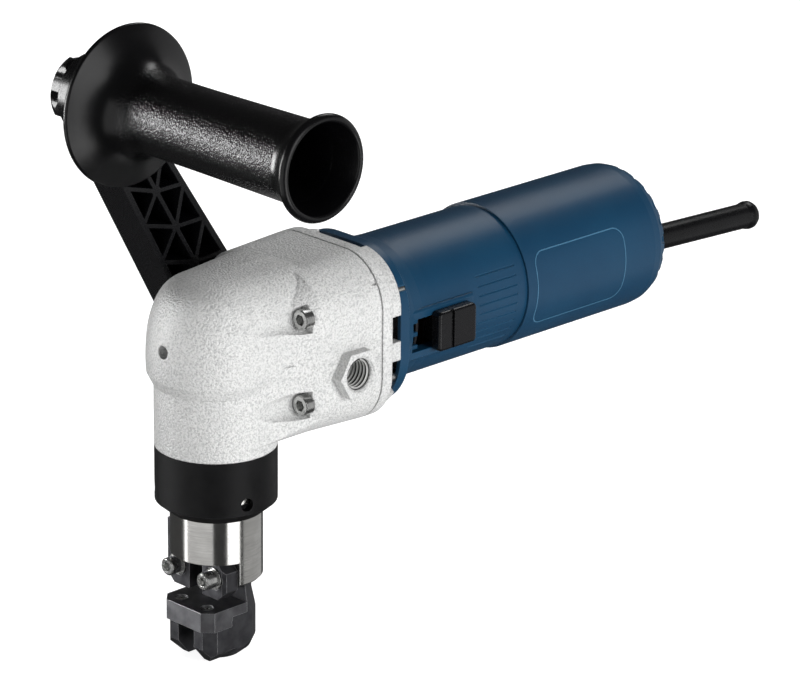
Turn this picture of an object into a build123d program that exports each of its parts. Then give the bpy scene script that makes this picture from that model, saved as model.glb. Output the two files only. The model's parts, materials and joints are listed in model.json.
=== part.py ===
"""Electric nibbler: angled gear head, slide-switch motor body and a bracketed side grip.

Row frame: origin at the centre of the die's cutting face on the ram axis, +Z up the ram
axis into the head, +X back along the motor, +Y towards the side-grip bracket.
"""
from build123d import *
import math
import os

# ---- driving dimensions, millimetres -------------------------------------------------
motor_z = 109.0            # height of the armature axis
crank_z = 118.3            # height of the crankshaft axis
stroke = 8.0               # ram stroke, twice the eccentric throw
fit = 0.05                 # radial running clearance of shafts and slides
gap = 0.3                  # clearance between pieces that move past each other

neck_r = 26.4              # gear head neck and clamp ring
neck_z0 = 70.6             # shoulder where the ring ends
underside_z = 73.0         # flat underside behind the neck
spigot_r = 23.5            # threaded spigot inside the ring
spigot_z0 = 54.0
ring_z0 = 41.4
carrier_r = 20.0
carrier_front_z = 21.6     # underside of the carrier in front of the ears' seat
carrier_back_z = 10.4
ear_back_x = -4.25         # seat of the die holder's ears on the carrier
ear_front_x = -12.0
ram_r = 14.0
bush_r = 17.0
punch_w = 8.0
sheet_gap = 5.0            # between the holder's ears and the die

head_joint_x = 61.0        # gear housing to motor flange
collar_x = 73.8            # motor flange to motor housing
seam_x = 156.0             # motor housing to rear cover
end_x = 251.2              # rear end of the cover
body_r = 32.2
cover_r = 33.3

flange_half = 38.5
flange_corner = 23.5
collar_half = 36.6
collar_corner = 28.0
rim_corner = 24.0
joint_rebate = (0.4, 0.6)    # width and depth of the groove at each side of the joint
screw_y = 31.5             # long housing screws, from the motor axis
screw_dz = 19.2

boss_x = 45.0              # threaded handle bosses
boss_z = 101.0
boss_face_y = 42.0
boss_flats = 20.0
boss_thread_r = 7.0        # nominal radius of the M14 thread
boss_pad_y = 28.2
bracket_bolt_r = 6.6       # far side: plain fitted bolt instead of the thread

bracket_y0 = 39.5          # arm of the side grip
bracket_y1 = 60.0
grip_x = -16.5
grip_z = 215.7
grip_end_y = -84.4

stage_one = {"module": 0.7, "pinion": 8, "gear": 42}
stage_two = {"module": 1.0, "pinion": 9, "gear": 42}
profile_shift = 0.5
pinion_addendum = 0.8      # in modules; shortened so that the few teeth keep a flat tip
backlash = 0.10
pressure = math.radians(20)

# ---- worked out from the driving dimensions ------------------------------------------
centre_one = stage_one["module"] * (stage_one["pinion"] + stage_one["gear"]) / 2
centre_two = stage_two["module"] * (stage_two["pinion"] + stage_two["gear"]) / 2
axis_rise = crank_z - motor_z
counter_dz = (centre_one**2 - centre_two**2 + axis_rise**2) / (2 * axis_rise)
counter_y = math.sqrt(centre_one**2 - counter_dz**2)
counter_z = motor_z + counter_dz
throw = stroke / 2

low = (Align.CENTER, Align.CENTER, Align.MIN)


# ---- helpers -------------------------------------------------------------------------
def box(x0, x1, y0, y1, z0, z1):
    """Block between two opposite corners."""
    return Pos((x0 + x1) / 2, (y0 + y1) / 2, (z0 + z1) / 2) * Box(x1 - x0, y1 - y0, z1 - z0)


def rod_x(r, x0, x1, y=0.0, z=motor_z):
    """Round bar along X."""
    return Plane.YZ.offset(x0) * Pos(y, z) * Cylinder(r, x1 - x0, align=low)


def rod_y(r, y0, y1, x, z):
    """Round bar along Y."""
    return Pos(x, y0, z) * Rot(-90, 0, 0) * Cylinder(r, y1 - y0, align=low)


def rod_z(r, z0, z1, x=0.0, y=0.0):
    """Round bar along Z."""
    return Pos(x, y, z0) * Cylinder(r, z1 - z0, align=low)


def tube_x(r_out, r_in, x0, x1, y=0.0, z=motor_z):
    """Round tube along X."""
    return rod_x(r_out, x0, x1, y, z) - rod_x(r_in, x0 - 1, x1 + 1, y, z)


def turned_z(points):
    """Solid of revolution about Z from a closed (radius, height) outline."""
    return revolve(Plane.XZ * make_face(Polyline(*points, close=True)), Axis.Z)


def turned_y(points, x, z):
    """Solid of revolution about a Y axis from a closed (radius, y) outline."""
    outline = make_face(Polyline(*points, close=True))
    return Pos(x, 0, z) * revolve(outline, Axis.Y)


def turned_x(points, y=0.0, z=motor_z):
    """Solid of revolution about an X axis from a closed (x, radius) outline."""
    outline = make_face(Polyline(*points, close=True))
    return Pos(0, y, z) * revolve(outline, Axis.X)


def turned_curve(points, axis, place=Pos(0, 0, 0)):
    """Solid of revolution about Z or Y from (radius, height) runs; runs of 3 or more are smooth."""
    edges = []
    for run in points:
        edges.append(Polyline(*run) if len(run) < 3 else Spline(*run))
    ends = [points[-1][-1], points[0][0]]
    if ends[0] != ends[1]:
        edges.append(Line(*ends))
    outline = make_face(edges)
    if axis == Axis.Z:
        outline = Plane.XZ * outline
    return place * revolve(outline, axis)


def soft_square(x, half, corner):
    """Rounded square on the plane X = x, centred on the motor axis."""
    return Plane.YZ.offset(x) * Pos(0, motor_z) * RectangleRounded(2 * half, 2 * half, corner)


def group(*solids):
    """Several separate solids as one node."""
    return Compound(children=[s for item in solids for s in item.solids()])


def socket_screw_x(x, y, z, head_r, head_len, shank_r, shank_len, key):
    """Socket-head screw with its head at x, pointing to +X."""
    head = rod_x(head_r, x, x + head_len, y, z)
    head = chamfer(head.edges().group_by(Axis.X)[0], head_len * 0.1)
    recess = Plane.YZ.offset(x - 1) * Pos(y, z) * extrude(RegularPolygon(key, 6), 1 + head_len * 0.55)
    return head - recess + rod_x(shank_r, x + head_len, x + head_len + shank_len, y, z)


def involute(angle):
    return math.tan(angle) - angle


def gear_blank(teeth, module, shift, x0, x1, y, z, first_tooth):
    """Involute spur gear along X whose first tooth points at first_tooth radians."""
    pitch_r = teeth * module / 2
    base_r = pitch_r * math.cos(pressure)
    addendum = pinion_addendum if shift > 0 else 1.0
    tip_r = pitch_r + module * (addendum + shift)
    root_r = pitch_r - module * (1.25 - shift)
    thickness = module * (math.pi / 2 + 2 * shift * math.tan(pressure)) - backlash
    base_half = thickness / (2 * pitch_r) + involute(pressure)
    start_r = max(base_r, root_r + 0.05)
    flank = []
    for step in range(5):
        r = start_r + (tip_r - start_r) * step / 4
        flank.append((r, base_half - involute(math.acos(base_r / r))))
    outline = []
    for tooth in range(teeth):
        middle = first_tooth + 2 * math.pi * tooth / teeth
        polar = [(root_r, middle - flank[0][1])]
        polar += [(r, middle - half) for r, half in flank]
        polar += [(r, middle + half) for r, half in reversed(flank)]
        polar.append((root_r, middle + flank[0][1]))
        outline += [(r * math.cos(a), r * math.sin(a)) for r, a in polar]
    face = Plane.YZ.offset(x0) * Pos(y, z) * make_face(Polyline(*outline, close=True))
    return extrude(face, x1 - x0)


def ball_bearing(bore_r, outer_r, x0, width, y=0.0, z=motor_z):
    """Ball bearing along X: two rings and the balls between them."""
    wall = (outer_r - bore_r) * 0.27
    outer = tube_x(outer_r, outer_r - wall, x0, x0 + width, y, z)
    inner = tube_x(bore_r + wall, bore_r + fit, x0, x0 + width, y, z)
    middle_r = (outer_r + bore_r) / 2
    ball_r = (outer_r - bore_r) / 2 - wall - 0.05
    balls = []
    for i in range(7):
        angle = 2 * math.pi * i / 7
        place = Pos(x0 + width / 2, y + middle_r * math.cos(angle), z + middle_r * math.sin(angle))
        balls.append(place * Sphere(ball_r))
    return group(outer, inner, *balls)


def housing_screw_places():
    return [(sy * screw_y, motor_z + 0.8 + sz * screw_dz) for sy in (-1, 1) for sz in (-1, 1)]


# ---- gear head -----------------------------------------------------------------------
head_screw_seat_x = 24.0
chamber_x = (-15.0, 12.0)
front_bearing_x = (-22.5, -15.5)
main_bearing_x = (13.0, 22.0)
gearbox_x = 25.0
gearbox_step_x = 44.0


nose_x = -1.0              # axis of the domed nose
nose_wall = [(28.7, 104), (28.9, 111), (28.6, 118), (27.3, 127), (24.9, 134.3), (21.2, 140.5),
             (16.5, 144), (9, 146), (0, 146.6)]
rear_wall = [(31.0, 104), (31.6, 111), (31.6, 118), (31.2, 128), (29.2, 135.5), (25.4, 141.6),
             (19.5, 145.3), (10, 146.8), (0, 147.2)]
shoulder_z = 99.0


def front_bulge():
    """Crank case over the neck: a domed nose that runs back into the rear block."""
    nose = turned_curve([[(0, shoulder_z), (neck_r - 0.2, shoulder_z)], [(neck_r - 0.2, shoulder_z), nose_wall[0]],
                         nose_wall], Axis.Z, Pos(nose_x, 0, 0))
    return nose + loft([bulge_section(nose_x, nose_wall), bulge_section(32.0, rear_wall)])


def bulge_section(x, wall):
    """Closed section of the crank case on the plane X = x."""
    near = Spline(*[(-y, z) for y, z in wall])
    far = Spline(*wall)
    foot = neck_r - 0.2
    floor = Polyline((-wall[0][0], wall[0][1]), (-foot, shoulder_z), (foot, shoulder_z), wall[0])
    return Plane.YZ.offset(x) * make_face([near, far, floor])


def rear_block():
    """Rounded box that carries the flange of the motor, with a ramp at its front."""
    ramp = loft([soft_square(9, 27.5, 15), soft_square(head_screw_seat_x + 4, 36.4, 20)])
    block = loft([soft_square(head_screw_seat_x + 4, 36.4, 20), soft_square(head_joint_x, flange_half, flange_corner)])
    return (ramp + block) & box(0, 100, -50, 50, underside_z, 160)


def lower_web():
    """Wall that joins the neck to the rear block under the crank case."""
    plan = Polyline((-6, -25.6), (6, -28.6), (20, -32.2), (34, -34.5), (34, 34.5), (20, 32.2), (6, 28.6), (-6, 25.6), close=True)
    web = extrude(Plane.XY.offset(underside_z) * make_face(plan), 36)
    return web & extrude(soft_square(-8, 36.2, 19), 45)


def handle_boss(side):
    """Hexagonal boss with its threaded hole, on either side of the gear head."""
    hexagon = RegularPolygon(boss_flats / 2, 6, major_radius=False)
    y0 = 34.0
    place = Pos(boss_x, side * y0, boss_z) * Rot(-90 * side, 0, 0)
    return place * extrude(hexagon, boss_face_y - y0)


def inner_boss(side):
    """Round pad inside the gearbox that closes the threaded hole."""
    pad = rod_y(9.5, boss_pad_y, 35.5, boss_x, boss_z)
    return pad if side > 0 else mirror(pad, Plane.XZ)


def boss_hole(side):
    """Hole in a handle boss: threaded near side at its nominal radius, plain far side."""
    r = boss_thread_r if side < 0 else bracket_bolt_r + 0.1
    cutter = rod_y(r, boss_pad_y + 1.8, boss_face_y + 1, boss_x, boss_z)
    mouth = [(0, boss_face_y - 1.2), (r, boss_face_y - 1.2), (r + 1.5, boss_face_y + 0.3), (0, boss_face_y + 0.3)]
    cutter += turned_y(mouth, boss_x, boss_z)
    return cutter if side > 0 else mirror(cutter, Plane.XZ)


def gear_housing():
    body = rod_z(neck_r, neck_z0, 112) + front_bulge() + rear_block() + lower_web()
    body += rod_z(spigot_r, spigot_z0, neck_z0 + 1)
    for y, z in housing_screw_places():
        body -= rod_x(6.2, -30, head_screw_seat_x, y * 1.04, z)
    for side in (-1, 1):
        body += handle_boss(side)
    # hollow inside: rod chamber, ram bore, bearing seats and gearbox
    body -= rod_x(21.2, *chamber_x, 0, crank_z)
    body -= rod_z(carrier_r + 0.2, spigot_z0 - 1, 84.6)
    body -= rod_z(bush_r, 80, crank_z)
    body -= rod_x(12.5, front_bearing_x[0], chamber_x[0] + 1, 0, crank_z)
    body -= rod_x(2.9, -40, front_bearing_x[0] + 1, 0, crank_z)
    body -= rod_x(16, chamber_x[1] - 1, main_bearing_x[1], 0, crank_z)
    body -= rod_x(9, main_bearing_x[1] - 1, gearbox_x + 1, 0, crank_z)
    body -= extrude(soft_square(gearbox_x, 31.5, 17), gearbox_step_x - gearbox_x)
    body -= extrude(soft_square(gearbox_step_x - 1, 33.5, 19), head_joint_x - gearbox_step_x + 2)
    body += counter_front_boss() + inner_boss(1) + inner_boss(-1)
    body -= rod_x(5.5, gearbox_x - 6, gearbox_x + 3, counter_y, counter_z)
    for y, z in housing_screw_places():
        body += screw_column(y, z)
        body -= rod_x(2.75, head_screw_seat_x - 1, head_joint_x + 1, y, z)
    for side in (-1, 1):
        body -= boss_hole(side)
    for y0, y1, z0, z1 in ((-36, -30, 136, 150), (-36, -29, 66, 79)):
        body -= box(head_joint_x - 3, head_joint_x + 1, y0, y1, z0, z1) - box(-99, 99, -33.5, 33.5, 0, 299)
    return body - joint_groove(head_joint_x - joint_rebate[0])


def screw_column(y, z):
    """Wall thickness round a long screw, inside the rear block."""
    column = rod_x(5, head_screw_seat_x, head_joint_x, y, z)
    return column & rear_block()


def counter_front_boss():
    return rod_x(8, gearbox_x - 1, gearbox_x + 2, counter_y, counter_z)


def motor_flange():
    """Cast ring between gear head and motor, with air outlets between its teeth."""
    plate_x1 = 67.0
    plate = extrude(soft_square(head_joint_x, flange_half, flange_corner), plate_x1 - head_joint_x)
    rim = extrude(soft_square(plate_x1 - 0.5, collar_half, rim_corner), collar_x - plate_x1 + 0.5)
    rim -= rod_x(32.5, plate_x1 - 1, collar_x + 1)
    for middle, width in ((90, 44), (7, 18), (-26.5, 23), (173, 18), (206.5, 23), (270, 44)):
        rim -= air_outlet(middle, width, plate_x1)
    body = plate + rim + rod_x(15, plate_x1 - 1, 70.5)
    body += rod_x(7.5, plate_x1 - 1, 70, counter_y, counter_z)
    body -= rod_x(11, head_joint_x - 1, 68.5)
    body -= rod_x(6, 60, 80)
    body -= rod_x(5.5, head_joint_x - 1, 68, counter_y, counter_z)
    for y, z in housing_screw_places():
        body -= rod_x(2.75, 50, 80, y, z)
    return body - joint_groove(head_joint_x)


def joint_groove(x0):
    """Shallow rebate round one side of the joint between gear head and flange."""
    around = extrude(soft_square(x0, flange_half + 4, flange_corner), joint_rebate[0])
    return around - extrude(soft_square(x0, flange_half - joint_rebate[1], flange_corner), joint_rebate[0])


def air_outlet(middle, width, x0):
    """Wedge that opens the rim over an angle, in degrees about the motor axis."""
    edge = [math.radians(middle - width / 2), math.radians(middle), math.radians(middle + width / 2)]
    points = [(0, 0)] + [(60 * math.cos(a), 60 * math.sin(a)) for a in edge]
    face = Plane.YZ.offset(x0) * Pos(0, motor_z) * make_face(Polyline(*points, close=True))
    wedge = extrude(face, collar_x - x0 + 1)
    return wedge - rod_x(31, x0 - 1, collar_x + 2)


def housing_screws():
    seat = head_screw_seat_x
    screws = []
    for y, z in housing_screw_places():
        screws.append(socket_screw_x(seat - 4.6, y, z, 4.5, 4.6, 2.5, 78.5 - seat, 2.6))
    return group(*screws)


# ---- crank, countershaft and connecting rod ------------------------------------------
def counter_direction():
    """Angle of the countershaft seen from the armature axis."""
    return math.atan2(counter_dz, counter_y)


def crank_direction():
    """Angle of the crankshaft seen from the countershaft."""
    return math.atan2(crank_z - counter_z, -counter_y)


def crankshaft():
    shaft = rod_x(6, front_bearing_x[0] + 0.1, -7.5, 0, crank_z) + rod_x(7.5, 7.5, 43.5, 0, crank_z)
    shaft += rod_x(9, -11.8, -7.4, 0, crank_z) + rod_x(9, 7.4, 12.8, 0, crank_z)
    shaft += rod_x(12, -7.5, 7.5, 0, crank_z + throw)
    return shaft


def crank_gear():
    teeth = stage_two["gear"]
    first = crank_direction() + math.pi + math.pi / teeth
    wheel = gear_blank(teeth, stage_two["module"], -profile_shift, 28.5, 39.5, 0, crank_z, first)
    wheel -= tube_x(17, 11.5, 27, 31, 0, crank_z)
    wheel -= tube_x(17, 11.5, 37, 41, 0, crank_z)
    return wheel - rod_x(7.5, 20, 50, 0, crank_z)


def crank_circlip():
    return tube_x(10.5, 7.5, 40.2, 41.6, 0, crank_z)


def counter_shaft():
    first = crank_direction()
    pinion = gear_blank(
        stage_two["pinion"], stage_two["module"], profile_shift, 28, 43, counter_y, counter_z, first)
    journals = rod_x(3.7, 19.6, 28.5, counter_y, counter_z) + rod_x(3.7, 42.5, 67.6, counter_y, counter_z)
    return pinion + journals


def counter_gear():
    teeth = stage_one["gear"]
    first = counter_direction() + math.pi + math.pi / teeth
    wheel = gear_blank(teeth, stage_one["module"], -profile_shift, 45.5, 53.5, counter_y, counter_z, first)
    hub = rod_x(7, 43.6, 57, counter_y, counter_z)
    return wheel + hub - rod_x(3.7, 40, 60, counter_y, counter_z)


def counter_bushes():
    front = tube_x(5.5, 3.7 + fit, 19.4, gearbox_x + 1.8, counter_y, counter_z)
    rear = tube_x(5.5, 3.7 + fit, head_joint_x + 0.4, 67.8, counter_y, counter_z)
    return group(front, rear)


rod_pin_z = 78.0


def connecting_rod():
    """Rod at the top of its stroke; its small end hangs in the ram's well."""
    top = crank_z + throw
    big_end = rod_x(16, -5.5, 5.5, 0, top)
    small_end = rod_x(5.5, -4.5, 4.5, 0, rod_pin_z)
    shank = box(-4.5, 4.5, -4.5, 4.5, rod_pin_z, top - 14)
    bridge = loft([
        Plane.XY.offset(101) * Rectangle(9, 9),
        Plane.XY.offset(top - 11) * Rectangle(10.5, 20)])
    rod = big_end + small_end + shank + bridge
    rod -= rod_x(12 + fit, -9, 9, 0, top)
    return rod - rod_x(3, -9, 9, 0, rod_pin_z)


def wrist_pin():
    return rod_x(3, -7.5, 7.5, 0, rod_pin_z)


# ---- tool head -----------------------------------------------------------------------
holder_screw_y = 11.4
holder_screw_z = 14.5
guide_half = punch_w / 2 + 0.1
block_half = 9.0
block_back_x = 12.0


def tool_carrier():
    outline = [
        (0, carrier_back_z), (carrier_r - 1, carrier_back_z), (carrier_r, carrier_back_z + 1),
        (carrier_r, 49.8), (23.2, 49.8), (23.2, 53.7), (carrier_r - 0.2, 53.7), (carrier_r - 0.2, 84), (0, 84)]
    body = turned_z(outline)
    body -= rod_z(bush_r, 24, 90)
    body -= box(-30, ear_back_x, -30, 30, 0, carrier_front_z)
    body -= box(-30, block_back_x, -block_half, block_half, 0, carrier_front_z)
    body -= box(-5, 5, -5, 5, 20, 26)
    for y in (-holder_screw_y, holder_screw_y):
        body -= rod_x(2.5, -10, 7.5, y, holder_screw_z)
    return body


def guide_bush():
    return rod_z(bush_r, 24, 82) - rod_z(ram_r + fit, 23, 83)


def die_holder():
    """C-shaped holder: lower jaw, back web, and two ears bolted to the carrier."""
    turned = turned_z([
        (0, -25.2), (10.5, -25.2), (14.6, -21.8), (16.7, -17), (16.7, -4.7), (14.0, 8.5), (0, 8.5)])
    flat = 15.3
    plan = Polyline(
        (30, -flat), (-13.5, -flat), (-17.8, -10.4), (-17.8, 10.4), (-13.5, flat), (30, flat), close=True)
    side = Polyline((0, 8.5), (0, -25.2), (-12, -25.2), (-17.8, -18), (-17.8, 8.5), close=True)
    front = extrude(Plane.XZ.offset(-30) * make_face(side), 60)
    section = Polyline(
        (-20, 9), (20, 9), (20, -15.5), (8.6, -25.2), (-8.6, -25.2), (-20, -15.5), close=True)
    front &= extrude(Plane.YZ.offset(-20) * make_face(section), 25)
    jaw = (turned + front) & extrude(Plane.XY.offset(-30) * make_face(plan), 60)
    jaw -= box(-30, 3.8, -30, 30, 0, 10)
    jaw -= die_blank(0.0)
    # square chip passage, open to the front and below
    jaw -= box(-30, 5, -5, 5, -30, 6)
    ears = box(ear_front_x, ear_back_x, -18, 18, sheet_gap, carrier_front_z)
    ears = chamfer(ears.edges().filter_by(Axis.X), 4)
    ears = chamfer(ears.edges().filter_by(Axis.Z).group_by(Axis.X)[0], 1.5)
    block = box(ear_back_x, block_back_x, -block_half, block_half, sheet_gap, carrier_front_z)
    web = box(3.8, block_back_x, -block_half, block_half, -9, sheet_gap + 1)
    fin = box(ear_front_x, -7, 12, 18, carrier_front_z - 8, 34) - rod_z(carrier_r, carrier_front_z, 40)
    fin &= box(-20, 0, 0, 18, 0, 40)
    body = jaw + ears + block + web + fin
    body -= box(-guide_half, guide_half, -guide_half, guide_half, -10, 30)
    body -= box(-30, 0, -guide_half, guide_half, sheet_gap - 1, 30)
    for y in (-holder_screw_y, holder_screw_y):
        body -= rod_x(2.7, -20, 9, y, holder_screw_z)
        body -= rod_x(5.3, -20, ear_front_x + 0.7, y, holder_screw_z)
    for y in (-die_screw_y, die_screw_y):
        body -= rod_z(1.5, -20, 1, die_screw_x, y)
    return body


die_back_x = 3.8
die_screw_x = -13.0
die_screw_y = 8.2


def die_blank(inset):
    """Outer shape of the die: thick front block and a thinner tail over the curved seat."""
    flat = 15.3 - inset
    plan = Polyline(
        (-19.3, -10.9), (-14.9, -flat), (die_back_x - inset, -flat), (die_back_x - inset, flat),
        (-14.9, flat), (-19.3, 10.9), close=True)
    plate = extrude(Plane.XY.offset(-9 + inset) * make_face(plan), 9 - inset)
    heel = box(-5, 30, -30, 30, -30, -4.5 + inset) - rod_y(4, -31, 31, -8.6, -4.8 + inset)
    return plate - heel


def die():
    plate = die_blank(0.0)
    plate -= box(-guide_half, guide_half, -guide_half, guide_half, -10, 1)
    for y in (-die_screw_y, die_screw_y):
        plate -= rod_z(1.6, -12, 1, die_screw_x, y)
        plate -= rod_z(2.9, -2.4, 1, die_screw_x, y)
    return plate


def die_screws():
    screws = []
    for y in (-die_screw_y, die_screw_y):
        screw = rod_z(2.8, -2.4, -0.5, die_screw_x, y) + rod_z(1.5, -16, -2.4, die_screw_x, y)
        screw -= Pos(die_screw_x, y, -1.7) * extrude(RegularPolygon(1.2, 6), 3)
        screws.append(screw)
    return group(*screws)


def holder_screws():
    screws = []
    for y in (-holder_screw_y, holder_screw_y):
        screws.append(socket_screw_x(-18.6, y, holder_screw_z, 3.9, 6.1, 2.5, 18.8, 2.3))
    return group(*screws)


def holder_washers():
    washers = [tube_x(4.9, 2.6, -12.5, ear_front_x + 0.7, y, holder_screw_z) for y in (-holder_screw_y, holder_screw_y)]
    return group(*washers)


def ram():
    body = rod_z(ram_r, 34, 92)
    body -= rod_z(11.6, 63, 93)
    body = chamfer(body.edges().group_by(Axis.Z)[0], 1)
    half = punch_w / 2
    body -= box(-half, half, -half, half, 33, 46)
    return body - rod_x(2.1, -20, -half + 1, 0, 40)


def punch():
    half = punch_w / 2
    blade = box(-half, half, -half, half, sheet_gap + 0.5, 46)
    cutter = rod_y(9, -20, 20, 0, sheet_gap - 7.4)
    return blade - cutter


def punch_screw():
    half = punch_w / 2
    screw = rod_x(2.1, -13.2, -half, 0, 40)
    return screw - Plane.YZ.offset(-14) * Pos(0, 40) * extrude(RegularPolygon(1.2, 6), 3)


def clamp_ring():
    outline = [
        (carrier_r + gap, ring_z0), (20.6 + 0.4, ring_z0), (neck_r, 46), (neck_r, neck_z0 - gap),
        (spigot_r + gap, neck_z0 - gap), (spigot_r + gap, 49.5), (carrier_r + gap, 49.5)]
    ring = turned_z(outline)
    for i in range(3):
        angle = math.radians(258 + 120 * i)
        hole = Pos(0, 0, 50.6) * Rot(0, 0, math.degrees(angle)) * Rot(0, 90, 0) * Cylinder(3, 6)
        ring -= Pos(25.6 * math.cos(angle), 25.6 * math.sin(angle), 0) * hole
    return ring


# ---- motor ---------------------------------------------------------------------------
stator_x = (100.0, 154.0)
stator_r = 28.8
stator_flat = 24.0
bore_r = 17.6
shaft_r = 4.0
brush_x = 178.0
web_x = (198.0, 209.0)
cover_screw_y = 14.0
cover_screw_z = motor_z + 13
clamp_x = 230.0
clamp_z = 101.4            # joint between the cable clamp's seat and its bar
clamp_height = 5.4
clamp_screw_y = 7.0
slot_x = (84.0, 119.0)
slot_z = (98.6, 113.4)


def motor_housing():
    collar = extrude(soft_square(collar_x, collar_half, collar_corner), 6.4)
    collar = chamfer(collar.edges().group_by(Axis.X)[-1], 1.2)
    flare = turned_x([(79, 0), (79, 35.6), (82, 34.5), (86, 33.4), (92, 32.5), (98, body_r), (98, 0)])
    barrel = rod_x(body_r, 97, seam_x)
    body = collar + flare + barrel + rod_x(30, seam_x - 1, seam_x + 8)
    body -= extrude(soft_square(collar_x - 1, collar_half - 2.0, collar_corner - 2.0), 3.4)
    body -= turned_x([(75, 0), (75, 32.4), (90, 29.0), (seam_x + 10, 29.0), (seam_x + 10, 0)])
    for y, z in housing_screw_places():
        body -= rod_x(2.55, collar_x - 1, 79, y, z)
    body -= box(*slot_x, -40, -20, *slot_z)
    body += slider_frame()
    for i in range(9):
        body -= side_groove(motor_z - 20 + 4.2 * i)
    return body - rod_y(0.8, -34, -30, 121.4, motor_z - 0.3)


def shroud_ring():
    """Dark moulded ring in the collar's recess, seen through the air outlets."""
    ring = extrude(soft_square(collar_x + 0.4, collar_half - 2.1, collar_corner - 2.1), 1.9)
    ring -= rod_x(31.6, collar_x - 1, collar_x + 4)
    for y, z in housing_screw_places():
        ring -= rod_x(4, collar_x - 1, collar_x + 4, y, z)
    return ring


def slider_frame():
    """Flat raised surround of the switch on the near side."""
    frame = box(slot_x[0] - 3, slot_x[1] + 3, -33.2, -27, slot_z[0] - 4, slot_z[1] + 4)
    frame = chamfer(frame.edges().group_by(Axis.Y)[0], 1.0)
    frame -= rod_x(29.0, 70, 130)
    return frame - box(*slot_x, -40, -20, *slot_z)


def side_groove(z):
    """One of the fine grip grooves that run along the near side."""
    y = -math.sqrt(body_r**2 - (z - motor_z)**2)
    return rod_x(0.4, 126, 150, y, z)


def rear_cover():
    """Rear half of the motor body, with bearing web and air inlets round its end."""
    outer = [
        (seam_x, 0), (seam_x, cover_r), (238, cover_r), (242, cover_r - 0.4), (245, cover_r - 1.5),
        (247.6, cover_r - 3.4), (249.8, cover_r - 6.2), (end_x, cover_r - 9.6), (end_x, 0)]
    inner = [(seam_x - 1, 0), (seam_x - 1, 30.2), (237, 30.2), (242, 29.0), (248, 24), (248, 0)]
    body = turned_x(outer) - turned_x(inner)
    web = rod_x(30.5, *web_x) - rod_x(11, web_x[0] + 2, web_x[1] + 1) - rod_x(6, 190, 220)
    for i in range(8):
        angle = math.radians(45 * i + 22.5)
        web -= rod_x(6.5, 190, 220, 20.5 * math.cos(angle), motor_z + 20.5 * math.sin(angle))
    web -= box(190, 220, -31, -23, link_z - 3, link_z + 3)
    body += web
    for i in range(24):
        angle = math.radians(15 * i + 7.5)
        body -= rod_x(2.4, 243.5, 255, 30.4 * math.cos(angle), motor_z + 30.4 * math.sin(angle))
    body -= sleeve_bar(6.1, 0, 20)
    body += box(clamp_x - 4, clamp_x + 4, -9.5, 9.5, motor_z - 31, clamp_z)
    body -= rod_x(3.4, clamp_x - 5, clamp_x + 5, 0, clamp_z)
    for side in (-1, 1):
        y = side * cover_screw_y
        body += rod_x(4.5, 232, 250, y, cover_screw_z)
        body -= rod_x(1.6, 228, 252, y, cover_screw_z)
        body -= rod_x(3.4, 249, 256, y, cover_screw_z)
        body -= rod_z(1.7, clamp_z - 11, clamp_z + 1, clamp_x, side * clamp_screw_y)
    return body


def cover_screws():
    screws = []
    for side in (-1, 1):
        y = side * cover_screw_y
        screw = rod_x(3.1, 249, 251, y, cover_screw_z) + rod_x(1.6, 236, 249, y, cover_screw_z)
        screws.append(screw - box(250, 252, y - 0.5, y + 0.5, cover_screw_z - 2.2, cover_screw_z + 2.2))
    return group(*screws)


def stator_core():
    core = rod_x(stator_r, *stator_x)
    core &= box(0, 300, -stator_flat, stator_flat, 0, 300)
    core -= rod_x(bore_r, 90, 170)
    for side in (-1, 1):
        for lift in (-1, 1):
            core -= box(90, 170, side * 13 - 4, side * 13 + 4, motor_z + lift * 17 - 4, motor_z + lift * 17 + 4)
    return core


def field_coils():
    """Two field windings, one round each pole, above and below the armature."""
    coils = []
    for lift in (-1, 1):
        loop = box(93, 161, -16.8, 16.8, motor_z + lift * 17 - 3.6, motor_z + lift * 17 + 3.6)
        loop -= box(stator_x[0] - 0.2, stator_x[1] + 0.2, -9.2, 9.2, 0, 300)
        loop -= rod_x(bore_r + 0.4, 80, 170)
        coils.append(loop)
    return group(*coils)


def armature_shaft():
    teeth = stage_one["pinion"]
    pinion = gear_blank(
        teeth, stage_one["module"], profile_shift, 45, 55, 0, motor_z, counter_direction())
    return pinion + rod_x(shaft_r, 54.8, 208)


def armature_core():
    core = rod_x(17.1, 101, 153) - rod_x(shaft_r, 90, 160)
    for i in range(12):
        angle = 30 * i
        core -= Pos(127, 0, motor_z) * Rot(angle, 0, 0) * box(-30, 30, -1.1, 1.1, 15.8, 18)
        core -= Pos(127, 0, motor_z) * Rot(angle, 0, 0) * box(-30, 30, -2.3, 2.3, 10.5, 15.8)
    return core


def armature_windings():
    rings = tube_x(15.6, 5.5, 93.5, 101) + tube_x(15.6, 5.5, 153, 161)
    for i in range(12):
        rings += Pos(127, 0, motor_z) * Rot(30 * i, 0, 0) * box(-27, 27, -2.1, 2.1, 10.7, 15.4)
    return rings


def commutator():
    drum = tube_x(11, shaft_r, 168, 187)
    for i in range(24):
        drum -= Pos(178, 0, motor_z) * Rot(15 * i, 0, 0) * box(-12, 12, -0.25, 0.25, 10.2, 12)
    return drum


def cooling_fan():
    hub = tube_x(9, shaft_r, 78, 89) + tube_x(27.5, 8, 86.5, 88)
    for i in range(9):
        hub += Pos(0, 0, motor_z) * Rot(40 * i, 0, 0) * box(78.5, 87, -0.9, 0.9, 8, 27)
    return hub


def air_baffle():
    return tube_x(28.9, 20, 90.4, 91.8)


def brush_holders():
    holders = []
    for lift in (-1, 1):
        tube = box(brush_x - 6.5, brush_x + 6.5, -5, 5, 13, 27.5) - box(brush_x - 4.2, brush_x + 4.2, -3.2, 3.2, 12, 26.2)
        holders.append(Pos(0, 0, motor_z) * Rot(90 - 90 * lift, 0, 0) * tube)
    return group(*holders)


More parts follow.
